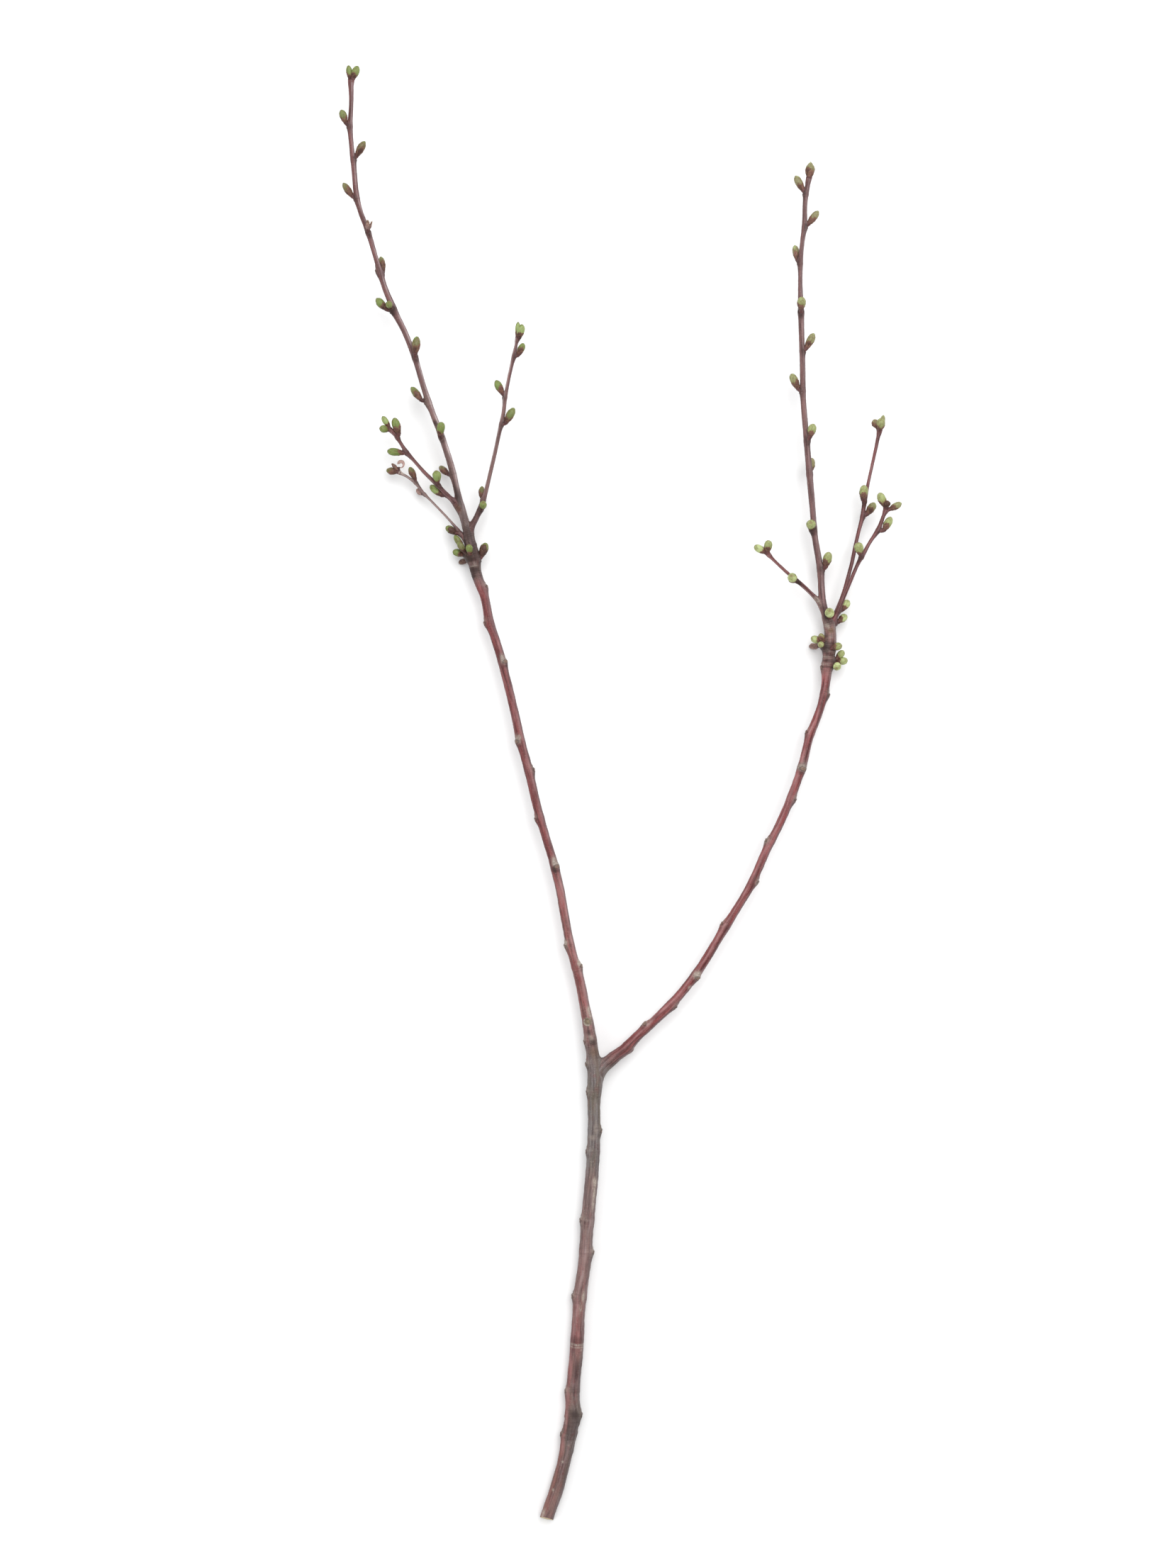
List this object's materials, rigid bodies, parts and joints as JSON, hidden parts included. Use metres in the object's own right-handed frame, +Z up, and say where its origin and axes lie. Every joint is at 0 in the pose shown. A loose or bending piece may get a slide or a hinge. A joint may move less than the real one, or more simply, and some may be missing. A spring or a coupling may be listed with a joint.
{
  "type": "cherry blossom branch",
  "caption": "Forked cut cherry branch in swelling bud, with slender side twigs and green-tipped buds, lying flat on a surface.",
  "frame": {"origin": "on the surface the branch lies on, under the middle of its bounding box", "axes": "+Y from the cut end towards the shoot tips, +X to the right as seen from above, +Z up from the surface"},
  "size_m": [0.388, 1.0131, 0.0446],
  "materials": {
    "bark": "satin",
    "bud_green": "satin",
    "withered_brown": "matte"
  },
  "bodies": {
    "root": {"branch_wood": "bark", "terminal_buds_left_leader": "bud_green", "bud_left_leader_01": "bud_green", "bud_left_leader_02": "bud_green", "bud_left_leader_03": "bud_green", "withered_bud_left_leader": "withered_brown", "bud_left_leader_04": "bud_green", "bud_left_leader_05": "bud_green", "bud_left_leader_06": "bud_green", "bud_left_leader_07": "bud_green", "bud_left_leader_08": "bud_green", "bud_left_leader_09": "bud_green", "bud_left_leader_10": "bud_green", "terminal_buds_left_outer_twig": "bud_green", "bud_left_outer_twig_01": "bud_green", "bud_left_outer_twig_02": "bud_green", "bud_left_outer_twig_03": "bud_green", "bud_left_outer_twig_04": "bud_green", "bud_left_outer_twig_05": "bud_green", "terminal_buds_left_upper_twig": "bud_green", "bud_left_upper_twig_01": "bud_green", "bud_left_upper_twig_02": "bud_green", "bud_left_upper_twig_03": "bud_green", "bud_left_upper_twig_04": "bud_green", "terminal_bud_left_thin_twig": "bud_green", "bud_left_thin_twig_01": "bud_green", "bud_left_thin_twig_02": "bud_green", "bud_left_spur_01": "bud_green", "buds_left_spur_02": "bud_green", "bud_left_spur_03": "bud_green", "bud_left_spur_04": "bud_green", "bud_left_spur_05": "bud_green", "bud_left_spur_06": "bud_green", "terminal_bud_right_leader": "bud_green", "bud_right_leader_01": "bud_green", "bud_right_leader_02": "bud_green", "bud_right_leader_03": "bud_green", "bud_right_leader_04": "bud_green", "bud_right_leader_05": "bud_green", "bud_right_leader_06": "bud_green", "bud_right_leader_07": "bud_green", "bud_right_leader_08": "bud_green", "bud_right_leader_09": "bud_green", "bud_right_leader_10": "bud_green", "terminal_buds_right_inner_twig": "bud_green", "bud_right_inner_twig_01": "bud_green", "terminal_buds_right_long_twig": "bud_green", "bud_right_long_twig_01": "bud_green", "bud_right_long_twig_02": "bud_green", "terminal_buds_right_short_twig": "bud_green", "bud_right_short_twig_01": "bud_green", "bud_right_short_twig_02": "bud_green", "bud_right_spur_01": "bud_green", "bud_right_spur_02": "bud_green", "bud_right_spur_03": "bud_green", "buds_right_spur_04": "bud_green", "bud_right_spur_05": "bud_green", "bud_right_spur_06": "bud_green", "buds_right_spur_07": "bud_green"}
  },
  "joints": []
}
